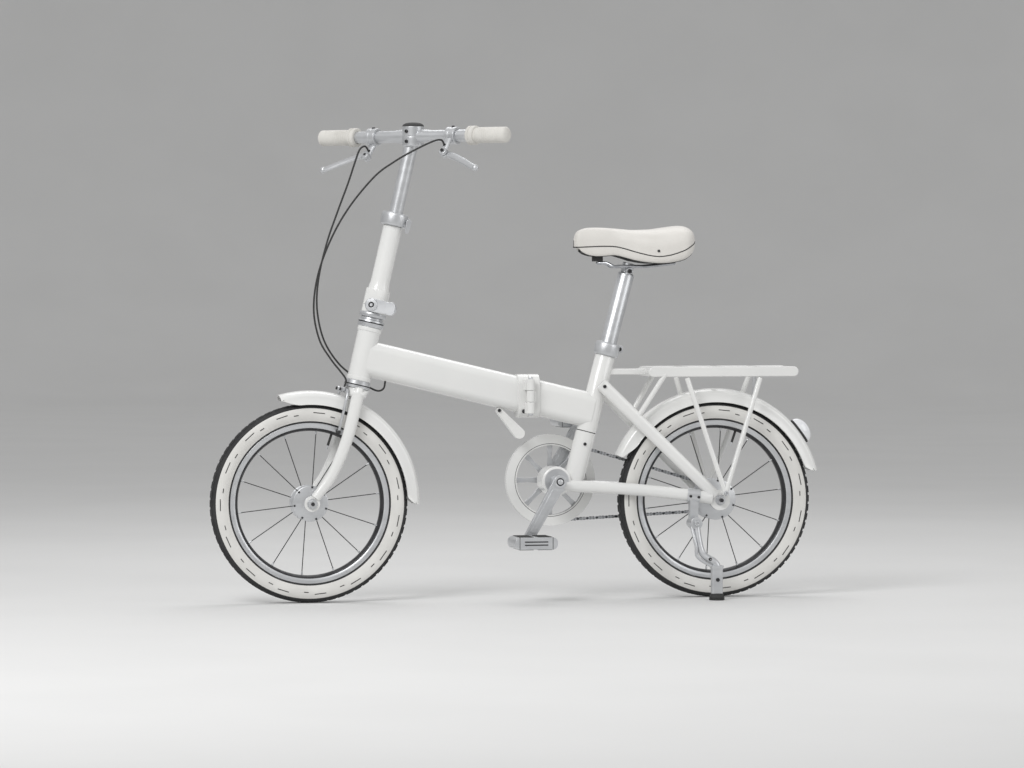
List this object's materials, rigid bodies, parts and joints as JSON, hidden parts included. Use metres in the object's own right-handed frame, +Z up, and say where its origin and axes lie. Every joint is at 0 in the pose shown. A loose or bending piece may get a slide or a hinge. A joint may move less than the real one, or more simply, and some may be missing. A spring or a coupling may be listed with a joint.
{
  "type": "folding bicycle",
  "caption": "Small-wheeled folding bicycle with a hinged main tube, a folding and sliding handlepost, rear carrier, mudguards and a side stand.",
  "frame": {"origin": "middle of the bounding box on the ground", "axes": "+X to the rear, +Y to the rider's right, +Z up"},
  "size_m": [1.5989, 0.4714, 1.2269],
  "materials": {
    "white_paint": "gloss",
    "silver": "satin",
    "steel": "satin",
    "tyre_rubber": "matte",
    "black_rubber": "matte",
    "black_plastic": "matte",
    "pale_rubber": "matte",
    "pale_vinyl": "satin",
    "clear_lens": "gloss"
  },
  "bodies": {
    "rear_frame": {"seat_tube": "white_paint", "rear_main_tube": "white_paint", "left_chainstay": "white_paint", "right_chainstay": "white_paint", "left_seatstay": "white_paint", "right_seatstay": "white_paint", "seat_clamp_collar": "silver", "rear_hinge_plate": "white_paint", "rear_axle": "silver", "rear_mudguard": "white_paint", "rear_rack": "white_paint", "left_rack_legs": "silver", "right_rack_legs": "silver", "tail_light": "clear_lens", "kickstand_bracket": "silver", "chain": "steel"},
    "rear_wheel": {"rear_tyre": "tyre_rubber", "rear_rim": "silver", "rear_hub": "steel"},
    "sprocket": {"rear_sprocket": "steel"},
    "cranks": {"left_crank": "silver", "right_crank": "silver", "chainring": "silver"},
    "left_pedal_body": {"left_pedal": "black_rubber"},
    "right_pedal_body": {"right_pedal": "black_rubber"},
    "saddle_and_post": {"seatpost": "silver", "saddle_rails": "steel", "saddle_base": "black_plastic", "saddle_cushion": "pale_vinyl"},
    "kickstand": {"kickstand_leg": "silver", "kickstand_foot": "black_rubber"},
    "front_frame": {"front_main_tube": "white_paint", "head_tube": "white_paint", "front_hinge_plate": "white_paint", "upper_headset_cup": "silver", "lower_headset_cup": "silver"},
    "frame_latch": {"frame_latch_lever": "silver"},
    "fork_body": {"fork": "white_paint", "front_axle": "silver", "front_mudguard": "white_paint", "handlepost_hinge_base": "white_paint"},
    "left_arm": {"left_brake_arm": "silver"},
    "right_arm": {"right_brake_arm": "silver"},
    "front_wheel": {"front_tyre": "tyre_rubber", "front_rim": "silver", "front_hub": "steel"},
    "lower_post": {"handlepost_lower": "white_paint", "handlepost_collar": "silver"},
    "post_latch": {"handlepost_latch_lever": "silver"},
    "upper_post": {"handlepost_upper": "silver"},
    "bar": {"handlebar": "silver", "bar_top_cap": "black_plastic", "left_grip": "pale_rubber", "right_grip": "pale_rubber", "left_lever_clamp": "silver", "right_lever_clamp": "silver", "front_brake_cable": "black_rubber", "rear_brake_cable": "black_rubber"},
    "left_lever": {"left_brake_lever": "silver"},
    "right_lever": {"right_brake_lever": "silver"}
  },
  "joints": [
    {"name": "frame_fold", "type": "hinge", "parent": "rear_frame", "child": "front_frame", "pos_m": [0.0235, -0.05, 0.52488], "axis": [0, 0, 1], "range_deg": [0, 165]},
    {"name": "steering", "type": "hinge", "parent": "front_frame", "child": "fork_body", "pos_m": [-0.42261, 0, 0.54625], "axis": [0.225, 0, 0.9744], "range_deg": [-40, 40]},
    {"name": "handlepost_fold", "type": "hinge", "parent": "fork_body", "child": "lower_post", "pos_m": [-0.35852, 0.03563, 0.75334], "axis": [-0.8901, 0.4067, 0.2055], "range_deg": [0, 160], "deforming": ["front_brake_cable", "rear_brake_cable"]},
    {"name": "handlepost_slide", "type": "slide", "parent": "lower_post", "child": "upper_post", "axis": [-0.225, 0, -0.9744], "range_m": [-0.02, 0.075]},
    {"name": "handlebar_turn", "type": "hinge", "parent": "upper_post", "child": "bar", "pos_m": [-0.27378, 0, 1.19089], "axis": [0, 0, 1], "range_deg": [-42, 10]},
    {"name": "left_lever_pull", "type": "hinge", "parent": "bar", "child": "left_lever", "pos_m": [-0.21414, -0.11854, 1.14389], "axis": [-0.596, -0.5367, 0.5973], "range_deg": [0, 20], "stiffness_Nm_per_rad": 1.2, "springref_deg": -11.46},
    {"name": "right_lever_pull", "type": "hinge", "parent": "bar", "child": "right_lever", "pos_m": [-0.38544, 0.0717, 1.14389], "axis": [0.596, 0.5367, -0.5973], "range_deg": [0, 20], "stiffness_Nm_per_rad": 1.2, "springref_deg": -11.46},
    {"name": "left_brake_close", "type": "hinge", "parent": "fork_body", "child": "left_arm", "pos_m": [-0.45049, 0, 0.54242], "axis": [0.9744, 0, -0.225], "range_deg": [0, 1.4]},
    {"name": "right_brake_close", "type": "hinge", "parent": "fork_body", "child": "right_arm", "pos_m": [-0.45857, 0, 0.54429], "axis": [-0.9744, 0, 0.225], "range_deg": [0, 1.4]},
    {"name": "front_wheel_spin", "type": "hinge", "parent": "fork_body", "child": "front_wheel", "pos_m": [-0.5455, 0, 0.254], "axis": [0, -1, 0], "continuous": true},
    {"name": "rear_wheel_spin", "type": "hinge", "parent": "rear_frame", "child": "rear_wheel", "pos_m": [0.5205, 0, 0.254], "axis": [0, -1, 0], "continuous": true},
    {"name": "crank_spin", "type": "hinge", "parent": "rear_frame", "child": "cranks", "pos_m": [0.0955, 0, 0.305], "axis": [0, -1, 0], "continuous": true},
    {"name": "sprocket_spin", "type": "hinge", "parent": "rear_frame", "child": "sprocket", "pos_m": [0.5205, 0, 0.254], "axis": [0, -1, 0], "continuous": true},
    {"name": "left_pedal_spin", "type": "hinge", "parent": "cranks", "child": "left_pedal_body", "pos_m": [0.0098, -0.062, 0.15414], "axis": [0, -1, 0], "continuous": true},
    {"name": "right_pedal_spin", "type": "hinge", "parent": "cranks", "child": "right_pedal_body", "pos_m": [0.1812, 0.062, 0.45586], "axis": [0, -1, 0], "continuous": true},
    {"name": "seatpost_slide", "type": "slide", "parent": "rear_frame", "child": "saddle_and_post", "axis": [-0.2538, 0, -0.9673], "range_m": [-0.05, 0.16]},
    {"name": "kickstand_swing", "type": "hinge", "parent": "rear_frame", "child": "kickstand", "pos_m": [0.4495, -0.095, 0.196], "axis": [0, -1, 0], "range_deg": [0, 78]},
    {"name": "frame_latch_open", "type": "hinge", "parent": "front_frame", "child": "frame_latch", "pos_m": [-0.05085, 0, 0.4878], "axis": [0, 1, 0], "range_deg": [0, 70]},
    {"name": "handlepost_latch_open", "type": "hinge", "parent": "lower_post", "child": "post_latch", "pos_m": [-0.38717, -0.03042, 0.75995], "axis": [-0.3963, -0.9135, 0.0915], "range_deg": [0, 95]}
  ],
  "couplings": [
    {"joint": "left_brake_close", "follows": "left_lever_pull", "ratio": 0.065},
    {"joint": "right_brake_close", "follows": "left_lever_pull", "ratio": 0.065},
    {"joint": "sprocket_spin", "follows": "crank_spin", "ratio": 3.25}
  ]
}
